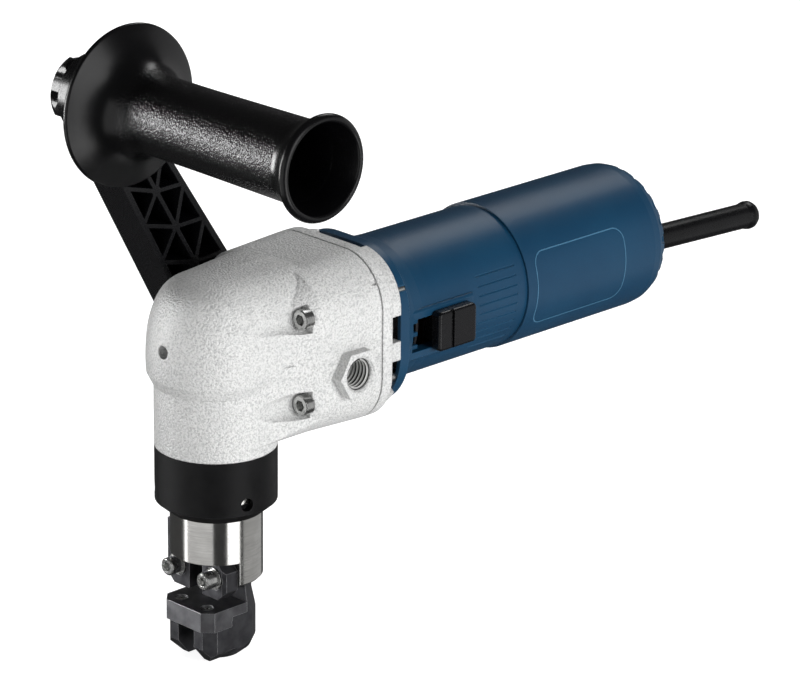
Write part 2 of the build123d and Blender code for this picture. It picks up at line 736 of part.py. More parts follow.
def carbon_brushes():
    brush = box(brush_x - 4.1, brush_x + 4.1, -3.1, 3.1, 11, 21)
    brush -= rod_x(11 + fit, 150, 200, 0, 0)
    return group(*[Pos(0, 0, motor_z) * Rot(90 - 90 * lift, 0, 0) * brush for lift in (-1, 1)])


def brush_springs():
    """Coil springs behind the brushes, as stacks of rings joined by a core strip."""
    spring = box(brush_x - 0.4, brush_x + 0.4, 1.6, 2.4, 21.1, 26.1)
    for i in range(4):
        spring += Pos(brush_x, 0, 21.7 + 1.25 * i) * Torus(2.0, 0.4)
    return group(*[Pos(0, 0, motor_z) * Rot(90 - 90 * lift, 0, 0) * spring for lift in (-1, 1)])


# ---- switch and cable entry ----------------------------------------------------------
link_z = 106.0
switch_travel = 7.0


def switch_slider():
    """Thumb slider at its rear (off) stop, with a ribbed rear pad and a stem in the slot."""
    x0 = 95.5
    x1 = 118.2
    pad = box(x0, x1, -38.6, -33.6, slot_z[0] - 1.2, slot_z[1] + 1.8)
    pad = fillet(pad.edges().filter_by(Axis.Y), 2)
    pad = fillet(pad.edges().group_by(Axis.Y)[0], 1.4)
    pad -= box(x0 + 7, x0 + 9, -40, -37.2, 90, 120)
    stem = box(x0 + 4, x1 - 2, -34, -25.3, slot_z[0] + 1.2, slot_z[1] - 1.2)
    return pad + stem


def switch_link():
    bar = box(104, 214, -28.4, -25.4, link_z - 1.5, link_z + 1.5)
    return bar - switch_slider()


def switch_unit():
    body = box(215, 240, -24, -10.4, link_z - 7.5, link_z + 7.5)
    body -= box(214, 219, -29, -21, link_z - 2.5, link_z + 2.5)
    return body + box(239, 243, -20, -17, link_z - 5, link_z - 2) + box(239, 243, -20, -17, link_z + 2, link_z + 5)


sleeve_tilt = 2.7
sleeve_z = 100.75
sleeve_base_x = 243.4
sleeve_length = 97.2
cable_r = 3.75


def sleeve_frame():
    """The sleeve's own axis: it leaves the end cover drooping a little."""
    return Pos(sleeve_base_x, 0, sleeve_z) * Rot(0, 90 + sleeve_tilt, 0)


def sleeve_bar(r, s0, s1):
    return sleeve_frame() * Pos(0, 0, s0) * Cylinder(r, s1 - s0, align=low)


def cable_sleeve():
    end = sleeve_length
    outline = [
        (cable_r, 0), (9.5, 0), (9.5, 4), (6.0, 4.2), (5.85, 12), (6.0, end - 6), (6.5, end - 4.6), (6.75, end - 3),
        (6.6, end - 1.4), (5.8, end), (cable_r, end)]
    body = revolve(Plane.XZ * make_face(Polyline(*outline, close=True)), Axis.Z)
    return sleeve_frame() * body


def cable_clamp():
    bar = box(clamp_x - 4, clamp_x + 4, -9.5, 9.5, clamp_z, clamp_z + clamp_height)
    bar -= rod_x(3.4, clamp_x - 5, clamp_x + 5, 0, clamp_z)
    for y in (-clamp_screw_y, clamp_screw_y):
        bar -= rod_z(1.7, 80, 120, clamp_x, y)
    return bar


def clamp_screws():
    screws = []
    top = clamp_z + clamp_height
    for y in (-clamp_screw_y, clamp_screw_y):
        screw = rod_z(1.65, top - 14, top, clamp_x, y) + rod_z(2.4, top, top + 2, clamp_x, y)
        screws.append(screw - box(clamp_x - 4, clamp_x + 4, y - 0.4, y + 0.4, top + 1, top + 3))
    return group(*screws)


# ---- side grip -----------------------------------------------------------------------
arm_length = math.hypot(boss_x - grip_x, grip_z - boss_z)
arm_turn = math.degrees(math.atan2(boss_x - grip_x, grip_z - boss_z))
arm_wall = 2.6
arm_half = 17.7            # radius of both eyes and offset of the straight edge
arm_waist = (9.4, 94.0)    # inner edge where the arm is narrowest


def arm_place():
    """Arm frame: local x across the arm, local y along it from boss to grip, z inwards."""
    return Plane(origin=(boss_x, bracket_y0, boss_z), x_dir=(math.cos(math.radians(arm_turn)), 0,
                 math.sin(math.radians(arm_turn))), z_dir=(0, -1, 0))


def arm_right(s):
    """Offset of the arm's leaning edge at distance s from the boss."""
    return arm_half + (arm_waist[0] - arm_half) * s / arm_waist[1]


def arm_rib(s0, u0, s1, u1, depth):
    """Straight rib between two points of the lattice."""
    length = math.hypot(s1 - s0, u1 - u0)
    angle = math.degrees(math.atan2(s1 - s0, u1 - u0))
    middle = Pos((u0 + u1) / 2, (s0 + s1) / 2, -depth / 2)
    return middle * Rot(0, 0, angle) * Box(length, 1.8, depth)


rib_pitch = 21.3
pocket_s = (20.0, 112.0)


def arm_ribs(depth):
    """Triangular lattice: middle rib, cross ribs and diagonals between nodes at one pitch."""
    def node(side, row):
        s = 19.4 + rib_pitch * row
        right = arm_right(s)
        if side == "left":
            return s + 12.6, 1.0 - arm_half
        if side == "right":
            return s - 7.0, arm_right(s - 7.0) - 1.0
        return s, (right - arm_half) / 2
    ribs = Part()
    for row in range(6):
        ends = [("left", row, "middle", row), ("middle", row, "right", row), ("middle", row, "left", row - 1),
                ("middle", row, "middle", row - 1), ("right", row, "middle", row - 1)]
        for a, i, b, j in ends:
            ribs += arm_rib(*node(a, i), *node(b, j), depth)
        s, u = node("middle", row)
        ribs += Pos(u, s) * extrude(Circle(2.2), -depth)
    return ribs


def handle_bracket():
    """Ribbed arm, open towards the tool, with solid eyes at the boss and at the grip."""
    depth = bracket_y1 - bracket_y0
    waist_u, waist_s = arm_waist
    outer = Polyline(
        (-arm_half, 0), (-arm_half, arm_length), (arm_half, arm_length), (arm_half * 0.9, arm_length - 14),
        (waist_u, waist_s), (arm_half, 0), close=True)
    shape = make_face(outer) + Circle(arm_half) + Pos(0, arm_length) * Circle(arm_half)
    body = extrude(shape, -depth)
    s0, s1 = pocket_s
    inner = Polyline(
        (arm_wall - arm_half, s0), (arm_wall - arm_half, s1), (waist_u - arm_wall, s1),
        (waist_u - arm_wall, waist_s), (arm_right(s0) - arm_wall, s0), close=True)
    hollow = extrude(make_face(inner), -depth + 3)
    ribs = hollow & arm_ribs(depth - 0.6)
    body = arm_place() * (body - hollow + ribs)
    hexagon = RegularPolygon(boss_flats / 2 + 0.15, 6, major_radius=False)
    body -= Pos(boss_x, bracket_y0 - 1, boss_z) * Rot(-90, 0, 0) * extrude(hexagon, 1 + boss_face_y - bracket_y0 + 0.3)
    body -= rod_y(bracket_bolt_r + 0.2, 30, 70, boss_x, boss_z)
    return body - rod_y(5.2, 30, 70, grip_x, grip_z)


def bracket_bolt():
    """Bolt that draws the arm onto the far boss."""
    shank = rod_y(bracket_bolt_r, boss_pad_y + 2.4, bracket_y1 + 1.6, boss_x, boss_z)
    head = Pos(boss_x, bracket_y1 + 1.6, boss_z) * Rot(-90, 0, 0) * extrude(RegularPolygon(10.5, 6, major_radius=False), 8)
    return shank + head


def bracket_washer():
    return rod_y(13, bracket_y1, bracket_y1 + 1.6, boss_x, boss_z) - rod_y(bracket_bolt_r + 0.1, 50, 70, boss_x, boss_z)


grip_bolt_r = 5.0


def side_grip():
    """Hollow grip with a dished hand guard at the arm and a beaded open end."""
    end = grip_end_y
    runs = [
        [(0, bracket_y0), (13, bracket_y0)],
        [(13, bracket_y0), (13.4, 34), (17, 32.2), (24, 33.3), (31, 35.3), (33.8, 36.2)],
        [(33.8, 36.2), (35.0, 36.0), (35.3, 34.9), (34.6, 33.9)],
        [(34.6, 33.9), (31, 32.2), (26.5, 30.0), (22.5, 27.4), (19.2, 23.6), (17.4, 18.5), (17.1, 12)],
        [(17.1, 12), (17.1, -10), (17.4, -40), (17.8, end + 13)],
        [(17.8, end + 13), (18.2, end + 12.8)],
        [(18.2, end + 12.8), (18.6, end + 9), (20.2, end + 5.5), (22.2, end + 3.6)],
        [(22.2, end + 3.6), (22.7, end + 2.4), (22.2, end + 0.9), (20.6, end), (19.4, end + 0.8)],
        [(19.4, end + 0.8), (17.6, end + 6), (15.4, end + 18), (14.4, -30), (13.9, -3)],
        [(13.9, -3), (0, -3)]]
    grip = turned_curve(runs, Axis.Y, Pos(grip_x, 0, grip_z))
    grip -= rod_y(grip_bolt_r, -10, 50, grip_x, grip_z)
    return grip - rod_y(9.4, -3, 4, grip_x, grip_z)


def grip_bolt():
    """Bolt through the grip and the arm, with its head sunk in the hollow grip."""
    shank = rod_y(grip_bolt_r, 3.9, knob_y0 + insert_length - 0.2, grip_x, grip_z)
    head = Pos(grip_x, -2.6, grip_z) * Rot(-90, 0, 0) * extrude(RegularPolygon(8, 6, major_radius=False), 6.6)
    return shank + head


knob_y0 = bracket_y1 + 0.6
insert_length = 12.0
insert_r = 6.6


def handle_knob():
    """Lobed clamping knob on the far side of the arm, tapering to its closed end."""
    shape = Circle(13.2)
    for i in range(5):
        angle = math.radians(72 * i + 20)
        shape += Pos(12.6 * math.cos(angle), 12.6 * math.sin(angle)) * Circle(5.2)
    y1 = knob_y0 + 14.4
    cone = turned_curve([[(0, knob_y0), (16.8, knob_y0)], [(16.8, knob_y0), (17.8, knob_y0 + 1.6)],
                         [(17.8, knob_y0 + 1.6), (16.6, knob_y0 + 5.2), (11.6, knob_y0 + 10.6), (9.2, y1 - 1)],
                         [(9.2, y1 - 1), (8.0, y1)], [(8.0, y1), (0, y1)]], Axis.Y, Pos(grip_x, 0, grip_z))
    lobes = Pos(grip_x, knob_y0 - 1, grip_z) * Rot(-90, 0, 0) * extrude(shape, 20)
    knob = cone & lobes
    return knob - rod_y(insert_r, knob_y0 - 1, knob_y0 + insert_length + gap, grip_x, grip_z)


def knob_insert():
    sleeve = rod_y(insert_r, knob_y0, knob_y0 + insert_length, grip_x, grip_z)
    return sleeve - rod_y(grip_bolt_r + fit, 50, 80, grip_x, grip_z)


# ---- nodes ---------------------------------------------------------------------------
nodes = {
    "gear_housing": gear_housing,
    "motor_flange": motor_flange,
    "housing_screws": housing_screws,
    "crankshaft": crankshaft,
    "crank_gear": crank_gear,
    "crank_circlip": crank_circlip,
    "counter_shaft": counter_shaft,
    "counter_gear": counter_gear,
    "counter_bushes": counter_bushes,
    "connecting_rod": connecting_rod,
    "wrist_pin": wrist_pin,
    "tool_carrier": tool_carrier,
    "guide_bush": guide_bush,
    "die_holder": die_holder,
    "die": die,
    "die_screws": die_screws,
    "holder_screws": holder_screws,
    "holder_washers": holder_washers,
    "ram": ram,
    "punch": punch,
    "punch_screw": punch_screw,
    "clamp_ring": clamp_ring,
    "motor_housing": motor_housing,
    "shroud_ring": shroud_ring,
    "rear_cover": rear_cover,
    "cover_screws": cover_screws,
    "stator_core": stator_core,
    "field_coils": field_coils,
    "armature_shaft": armature_shaft,
    "armature_core": armature_core,
    "armature_windings": armature_windings,
    "commutator": commutator,
    "cooling_fan": cooling_fan,
    "air_baffle": air_baffle,
    "brush_holders": brush_holders,
    "carbon_brushes": carbon_brushes,
    "brush_springs": brush_springs,
    "switch_slider": switch_slider,
    "switch_link": switch_link,
    "switch_unit": switch_unit,
    "cable_sleeve": cable_sleeve,
    "cable_clamp": cable_clamp,
    "clamp_screws": clamp_screws,
    "handle_bracket": handle_bracket,
    "bracket_bolt": bracket_bolt,
    "bracket_washer": bracket_washer,
    "side_grip": side_grip,
    "grip_bolt": grip_bolt,
    "handle_knob": handle_knob,
    "knob_insert": knob_insert,
}

bearings = {
    "crank_front_bearing": (6, 12.5, front_bearing_x[0], 7, 0, crank_z),
    "crank_main_bearing": (7.5, 16, main_bearing_x[0], 9, 0, crank_z),
    "armature_front_bearing": (shaft_r, 11, 61.5, 7, 0, motor_z),
    "armature_rear_bearing": (shaft_r, 11, web_x[0] + 2, 7, 0, motor_z),
}

os.makedirs("parts", exist_ok=True)
for name, make in nodes.items():
    export_step(make(), f"parts/{name}.step")
for name, sizes in bearings.items():
    export_step(ball_bearing(*sizes), f"parts/{name}.step")
print(f"countershaft at y {counter_y:.2f}, z {counter_z:.2f}; {len(nodes) + len(bearings)} nodes")
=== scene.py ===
# Electric nibbler: looks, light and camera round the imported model.
import json
import math

import bpy
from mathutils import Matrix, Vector


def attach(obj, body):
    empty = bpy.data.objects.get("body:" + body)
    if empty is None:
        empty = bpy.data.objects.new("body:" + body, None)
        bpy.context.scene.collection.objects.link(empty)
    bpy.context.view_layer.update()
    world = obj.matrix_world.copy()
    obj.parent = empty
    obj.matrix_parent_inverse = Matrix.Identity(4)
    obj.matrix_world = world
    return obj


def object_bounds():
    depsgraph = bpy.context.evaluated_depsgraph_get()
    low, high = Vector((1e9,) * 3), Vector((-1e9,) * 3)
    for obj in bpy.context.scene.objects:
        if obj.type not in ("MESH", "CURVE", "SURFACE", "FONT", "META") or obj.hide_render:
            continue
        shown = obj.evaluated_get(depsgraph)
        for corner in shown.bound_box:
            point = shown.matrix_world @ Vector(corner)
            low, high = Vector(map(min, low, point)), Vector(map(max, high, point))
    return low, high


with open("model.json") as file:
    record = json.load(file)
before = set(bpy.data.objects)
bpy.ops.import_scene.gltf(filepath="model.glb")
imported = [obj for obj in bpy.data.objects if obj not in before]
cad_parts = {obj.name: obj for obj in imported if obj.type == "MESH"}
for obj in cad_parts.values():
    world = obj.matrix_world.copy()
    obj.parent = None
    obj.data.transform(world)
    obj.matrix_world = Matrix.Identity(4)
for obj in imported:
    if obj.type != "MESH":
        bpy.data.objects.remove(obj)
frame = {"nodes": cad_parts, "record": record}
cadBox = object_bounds()
nodes = frame["nodes"]
print("frame loaded:", len(nodes), "nodes")

mm = 0.001


def linear(hexColour):
    # sRGB hex to the linear colour that the shader's sockets take
    parts = [int(hexColour[i:i + 2], 16) / 255 for i in (0, 2, 4)]
    return tuple(p / 12.92 if p <= 0.04045 else ((p + 0.055) / 1.055) ** 2.4 for p in parts) + (1,)


def addNode(tree, kind, inputs=None, **settings):
    # one shader node, with its settings and with values or links for its sockets
    made = tree.nodes.new(kind)
    for name, value in settings.items():
        setattr(made, name, value)
    for socket, value in (inputs or {}).items():
        if isinstance(value, bpy.types.NodeSocket):
            tree.links.new(value, made.inputs[socket])
        else:
            made.inputs[socket].default_value = value
    return made


def newMaterial(name):
    # a material with its nodes cleared; returns material, tree and the object's coordinates
    material = bpy.data.materials.new(name)
    material.use_nodes = True
    tree = material.node_tree
    tree.nodes.clear()
    place = addNode(tree, "ShaderNodeTexCoord").outputs["Object"]
    return material, tree, place


def finishMaterial(tree, shaderInputs):
    shader = addNode(tree, "ShaderNodeBsdfPrincipled", shaderInputs)
    addNode(tree, "ShaderNodeOutputMaterial", {"Surface": shader.outputs[0]})


def edgeMask(tree, radius, low, high):
    # 0 on flats, 1 on edges, from how far the rounded normal turns away from the true one
    rounded = addNode(tree, "ShaderNodeBevel", {"Radius": radius * mm}, samples=4).outputs[0]
    flat = addNode(tree, "ShaderNodeNewGeometry").outputs["Normal"]
    turn = addNode(tree, "ShaderNodeVectorMath", {0: rounded, 1: flat},
        operation="DOT_PRODUCT").outputs["Value"]
    mask = addNode(tree, "ShaderNodeMapRange", {"Value": turn, "From Min": high, "From Max": low})
    return mask.outputs[0], rounded


def grain(tree, place, size, detail=2.0, rough=0.5):
    # noise whose lumps are about size millimetres across
    noise = addNode(tree, "ShaderNodeTexNoise", {
        "Vector": place, "Scale": 1 / (size * mm), "Detail": detail, "Roughness": rough})
    return noise.outputs["Fac"]


def spread(tree, value, low, high, outLow, outHigh):
    made = addNode(tree, "ShaderNodeMapRange", {
        "Value": value, "From Min": low, "From Max": high, "To Min": outLow, "To Max": outHigh})
    return made.outputs[0]


def blendColour(tree, factor, first, second):
    made = addNode(tree, "ShaderNodeMix", {0: factor, 6: first, 7: second}, data_type="RGBA")
    return made.outputs[2]


def bump(tree, height, strength, depth, normal=None):
    inputs = {"Height": height, "Strength": strength, "Distance": depth * mm}
    if normal is not None:
        inputs["Normal"] = normal
    return addNode(tree, "ShaderNodeBump", inputs).outputs[0]


def castAluminium():
    # die-cast aluminium, bead blasted: bright and matt, with a leathery grain and smoother worn edges
    look = {"colour": "cdcdcc", "shade": "a2a3a3", "grainSize": 0.95, "fineSize": 0.5, "roughness": 0.54}
    material, tree, place = newMaterial("castAluminium")
    coarse = grain(tree, place, look["grainSize"], 1.0, 0.4)
    fine = grain(tree, place, look["fineSize"], 2.0)
    stain = grain(tree, place, 18, 2.0)
    edge, rounded = edgeMask(tree, 1.0, 0.86, 0.995)
    lumps = addNode(tree, "ShaderNodeMath", {0: coarse, 1: fine}, operation="ADD").outputs[0]
    tone = blendColour(
        tree, spread(tree, lumps, 0.72, 1.12, 0, 1), linear(look["shade"]), linear(look["colour"]))
    tone = blendColour(tree, spread(tree, stain, 0.35, 0.75, 0, 0.3), tone, linear("b9baba"))
    matt = spread(tree, edge, 0, 1, look["roughness"], 0.4)
    soft = bump(tree, coarse, 0.75, 0.6, rounded)
    finishMaterial(tree, {
        "Base Color": tone, "Metallic": 0.25, "Roughness": matt, "Normal": bump(tree, fine, 0.6, 0.25, soft)})
    return material


def bluePlastic():
    # glass-filled nylon, spark-eroded mould: satin blue with a very fine even grain
    look = {"colour": "0d3049", "light": "113b55", "roughness": 0.36, "grainSize": 0.45}
    material, tree, place = newMaterial("bluePlastic")
    fine = grain(tree, place, look["grainSize"], 2.0, 0.6)
    cloud = grain(tree, place, 25, 2.0)
    edge, rounded = edgeMask(tree, 0.6, 0.8, 0.99)
    tone = blendColour(
        tree, spread(tree, cloud, 0.3, 0.7, 0, 0.4), linear(look["colour"]), linear(look["light"]))
    tone = blendColour(tree, spread(tree, fine, 0.3, 0.7, 0, 0.25), tone, linear("0a2839"))
    tone = blendColour(tree, spread(tree, edge, 0, 1, 0, 0.3), tone, linear("2c5f80"))
    matt = spread(tree, fine, 0.3, 0.7, look["roughness"] - 0.05, look["roughness"] + 0.08)
    finishMaterial(tree, {
        "Base Color": tone, "Roughness": matt, "IOR": 1.5, "Specular IOR Level": 0.32,
        "Normal": bump(tree, fine, 0.35, 0.07, rounded)})
    return material


def blackPlastic(name, colour, roughness):
    # polyamide moulding: near black and satin, with rubbed edges a little paler
    material, tree, place = newMaterial(name)
    fine = grain(tree, place, 0.5, 1.0, 0.5)
    cloud = grain(tree, place, 14, 2.0)
    edge, rounded = edgeMask(tree, 0.5, 0.8, 0.99)
    tone = blendColour(tree, spread(tree, cloud, 0.3, 0.7, 0, 0.5), linear(colour), linear("0d0d0f"))
    tone = blendColour(tree, spread(tree, edge, 0, 1, 0, 0.3), tone, linear("2a2a2c"))
    matt = spread(tree, fine, 0.3, 0.7, roughness - 0.05, roughness + 0.07)
    finishMaterial(tree, {
        "Base Color": tone, "Roughness": matt, "IOR": 1.52, "Specular IOR Level": 0.3,
        "Normal": bump(tree, fine, 0.2, 0.05, rounded)})
    return material


def gripPlastic():
    # the hand grip: smooth satin guard and end collar, and between them a coarse pebbled mould grain
    look = {"colour": "040405", "grainSize": 0.7, "smooth": 0.25, "pebbled": 0.26, "from": -71.5, "to": 21.0}
    material, tree, place = newMaterial("gripPlastic")
    along = addNode(tree, "ShaderNodeSeparateXYZ", {0: place}).outputs["Y"]
    before = spread(tree, along, (look["from"] - 0.4) * mm, look["from"] * mm, 0, 1)
    after = spread(tree, along, look["to"] * mm, (look["to"] + 3) * mm, 1, 0)
    pebbled = addNode(tree, "ShaderNodeMath", {0: before, 1: after}, operation="MULTIPLY").outputs[0]
    pebble = grain(tree, place, look["grainSize"], 0.0)
    fine = grain(tree, place, 0.35, 2.0)
    cloud = grain(tree, place, 16, 2.0)
    edge, rounded = edgeMask(tree, 0.5, 0.8, 0.99)
    tone = blendColour(tree, spread(tree, cloud, 0.3, 0.7, 0, 0.5), linear(look["colour"]), linear("0b0b0c"))
    tone = blendColour(tree, spread(tree, edge, 0, 1, 0, 0.3), tone, linear("2a2a2c"))
    matt = spread(tree, pebbled, 0, 1, look["smooth"], look["pebbled"])
    height = addNode(tree, "ShaderNodeMath", {0: pebble, 1: pebbled}, operation="MULTIPLY").outputs[0]
    bumped = bump(tree, height, 1.0, 0.24, bump(tree, fine, 0.15, 0.04, rounded))
    finishMaterial(tree, {
        "Base Color": tone, "Roughness": matt, "IOR": 1.52, "Specular IOR Level": 0.35, "Normal": bumped})
    return material


def blackOxide(name, colour, light, wornEdgeAndHighlight, shine):
    # turned steel, chemically blackened and oiled; its edges are paler, partly worn bare steel and partly a
    # painted highlight
    material, tree, place = newMaterial(name)
    cloud = grain(tree, place, 6, 3.0)
    fine = grain(tree, place, 0.5, 2.0)
    edge, rounded = edgeMask(tree, 0.35, 0.8, 0.99)
    tone = blendColour(tree, spread(tree, cloud, 0.3, 0.7, 0, 1), linear(colour), linear(light))
    # edges: worn bare steel together with a painted highlight, mixed in towards the edge colour
    tone = blendColour(tree, spread(tree, edge, 0, 0.7, 0, 0.9), tone, linear(wornEdgeAndHighlight))
    matt = spread(tree, cloud, 0.3, 0.7, 0.44, 0.54)
    finishMaterial(tree, {
        "Base Color": tone, "Metallic": shine, "Roughness": matt, "Specular IOR Level": 0.25,
        "Normal": bump(tree, fine, 0.35, 0.07, rounded)})
    return material


def groundSteel():
    # turned and ground shaft steel: bright, with fine rings round the axis
    material, tree, place = newMaterial("groundSteel")
    squeeze = addNode(tree, "ShaderNodeMapping", {"Vector": place, "Scale": (0.03, 0.03, 1)}).outputs[0]
    rings = grain(tree, squeeze, 0.35, 3.0, 0.7)
    cloud = grain(tree, place, 9, 2.0)
    edge, rounded = edgeMask(tree, 0.3, 0.8, 0.99)
    tone = blendColour(tree, spread(tree, cloud, 0.3, 0.7, 0, 1), linear("cdccc9"), linear("bdbcb9"))
    tone = blendColour(tree, spread(tree, rings, 0.35, 0.65, 0, 0.35), tone, linear("9d9c9a"))
    tone = blendColour(tree, edge, tone, linear("e6e6e4"))
    matt = spread(tree, rings, 0.3, 0.7, 0.1, 0.2)
    finishMaterial(tree, {
        "Base Color": tone, "Metallic": 1.0, "Roughness": matt,
        "Normal": bump(tree, rings, 0.4, 0.02, rounded)})
    return material


def toolSteel():
    # hardened and tempered tool steel, dark from the quench, with ground bright edges
    material, tree, place = newMaterial("toolSteel")
    cloud = grain(tree, place, 5, 4.0, 0.6)
    fine = grain(tree, place, 0.5, 3.0, 0.6)
    edge, rounded = edgeMask(tree, 0.4, 0.8, 0.99)
    tone = blendColour(tree, spread(tree, cloud, 0.3, 0.7, 0, 1), linear("202022"), linear("3c3c3f"))
    tone = blendColour(tree, edge, tone, linear("b5b5b5"))
    matt = spread(tree, cloud, 0.3, 0.7, 0.42, 0.55)
    finishMaterial(tree, {
        "Base Color": tone, "Metallic": 1.0, "Roughness": matt,
        "Normal": bump(tree, fine, 0.35, 0.08, rounded)})
    return material


def metal(name, colour, shade, roughness, grainSize=0.6):
    # a plain machined or plated metal part
    material, tree, place = newMaterial(name)
    fine = grain(tree, place, grainSize, 2.0)
    cloud = grain(tree, place, 4, 2.0)
    edge, rounded = edgeMask(tree, 0.2, 0.8, 0.99)
    tone = blendColour(tree, spread(tree, cloud, 0.3, 0.7, 0, 1), linear(colour), linear(shade))
    matt = spread(tree, cloud, 0.3, 0.7, roughness, roughness + 0.12)
    finishMaterial(tree, {
        "Base Color": tone, "Metallic": 1.0, "Roughness": matt,
        "Normal": bump(tree, fine, 0.15, 0.03, rounded)})
    return material


def dull(name, colour, shade, roughness, grainSize=0.8):
    # an unplated non-metal part: carbon, varnish or moulded trim
    material, tree, place = newMaterial(name)
    fine = grain(tree, place, grainSize, 3.0)
    edge, rounded = edgeMask(tree, 0.3, 0.8, 0.99)
    tone = blendColour(tree, spread(tree, fine, 0.3, 0.7, 0, 1), linear(colour), linear(shade))
    matt = spread(tree, fine, 0.3, 0.7, roughness - 0.05, roughness + 0.05)
    finishMaterial(tree, {
        "Base Color": tone, "Roughness": matt, "IOR": 1.5, "Normal": bump(tree, fine, 0.3, 0.06, rounded)})
    return material


finishes = {
    "cast_aluminium": castAluminium(),
    "blue_plastic": bluePlastic(),
    # the fourth colour given to blackOxide is the edge tone: worn steel and painted highlight
    "black_oxide": blackOxide("blackOxide", "0a0a0b", "121213", "3a3a3c", 0.4),
    "ground_steel": groundSteel(),
    "tool_steel": toolSteel(),
    "zinc_steel": metal("zincSteel", "d8d8d6", "b8b9b8", 0.2),
    "gear_steel": metal("gearSteel", "9a9a9b", "7d7e80", 0.3),
    "bearing_steel": metal("bearingSteel", "cfcfcf", "b5b5b6", 0.14),
    "bronze": metal("sinteredBronze", "a87c46", "8a6236", 0.42, 0.3),
    "black_plastic": blackPlastic("blackPlastic", "08080a", 0.26),
    "black_rubber": blackPlastic("blackRubber", "040405", 0.3),
    "laminations": metal("steelLaminations", "707275", "595b5e", 0.45),
    "copper": metal("enamelledCopper", "b4643a", "96502c", 0.3),
    "carbon": dull("pressedCarbon", "202022", "151516", 0.6),
    "fan_plastic": dull("phenolicPlastic", "18181a", "222224", 0.45),
}

slotOf = {part["node"]: part["material_slot"] for part in frame["record"]["subparts"]}
for name, cadNode in nodes.items():
    cadNode.data.materials.clear()
    cadNode.data.materials.append(finishes[slotOf[name]])
nodes["side_grip"].data.materials[0] = gripPlastic()
# last colour of each: the edge tone, worn bright steel and painted edge highlight
nodes["die_holder"].data.materials[0] = blackOxide("phosphatedSteel", "363639", "515154", "b0b0b2", 0.9)
nodes["die"].data.materials[0] = blackOxide("dieSteel", "5c5c5f", "7a7a7d", "d0d0d2", 1.0)
print("materials assigned")


def activate(obj):
    bpy.ops.object.select_all(action="DESELECT")
    bpy.context.view_layer.objects.active = obj
    obj.select_set(True)


def settle(obj):
    # puts the object's own place, turn and size into its mesh
    activate(obj)
    bpy.ops.object.transform_apply(location=True, rotation=True, scale=True)


def applyModifiers(obj):
    activate(obj)
    for modifier in list(obj.modifiers):
        bpy.ops.object.modifier_apply(modifier=modifier.name)


def newBlock(name, middlePoint, size):
    # a cube primitive, in millimetres, ready to be shaped
    bpy.ops.object.select_all(action="DESELECT")
    bpy.ops.mesh.primitive_cube_add(size=1, location=Vector(middlePoint) * mm, scale=Vector(size) * mm)
    obj = bpy.context.object
    obj.name = name
    settle(obj)
    return obj


def pickFaces(obj, test):
    # leaves the object in edit mode with the faces selected whose centre, in millimetres, passes the test
    activate(obj)
    bpy.ops.object.mode_set(mode="EDIT")
    bpy.ops.mesh.select_mode(type="FACE")
    bpy.ops.mesh.select_all(action="DESELECT")
    bpy.ops.object.mode_set(mode="OBJECT")
    for face in obj.data.polygons:
        face.select = test(face.center / mm)
    bpy.ops.object.mode_set(mode="EDIT")


def cleanUp(obj, merge=0.005):
    activate(obj)
    bpy.ops.object.mode_set(mode="EDIT")
    bpy.ops.mesh.select_all(action="SELECT")
    bpy.ops.mesh.remove_doubles(threshold=merge * mm)
    bpy.ops.mesh.normals_make_consistent(inside=False)
    bpy.ops.object.mode_set(mode="OBJECT")


def cutWith(obj, tool, operation):
    # a boolean with a helper piece, which is then thrown away
    made = obj.modifiers.new("cut", "BOOLEAN")
    made.object = tool
    made.operation = operation
    applyModifiers(obj)
    bpy.data.objects.remove(tool)


def dress(obj, finish, body, angle=35):
    # finish, smooth shading and the body that the piece rides on
    obj.data.materials.clear()
    obj.data.materials.append(finish)
    activate(obj)
    bpy.ops.object.shade_smooth_by_angle(angle=math.radians(angle))
    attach(obj, body)


thread = {
    "x": 45.0, "z": 101.0,        # axis of the near boss
    "start": -30.6,               # first turn; the others wind towards the mouth
    "pitch": 2.0, "turns": 5, "root": 7.04, "crest": 6.1, "steps": 48}


def cutThread():
    # freshly cut thread: bright crests, and painted shade that darkens it to near black in its roots
    material, tree, place = newMaterial("cutThread")
    flat = addNode(tree, "ShaderNodeVectorMath", {0: place, 1: (1, 0, 1)}, operation="MULTIPLY").outputs[0]
    axis = (thread["x"] * mm, 0, thread["z"] * mm)
    reach = addNode(tree, "ShaderNodeVectorMath", {0: flat, 1: axis}, operation="DISTANCE").outputs["Value"]
    # painted shade: from the crests down into the roots the tone falls to near black
    depth = spread(tree, reach, (thread["crest"] + 0.1) * mm, (thread["root"] - 0.25) * mm, 0, 1)
    tone = blendColour(tree, depth, linear("eeeeec"), linear("141414"))
    finishMaterial(tree, {"Base Color": tone, "Metallic": 0.5, "Roughness": 0.35})
    return material


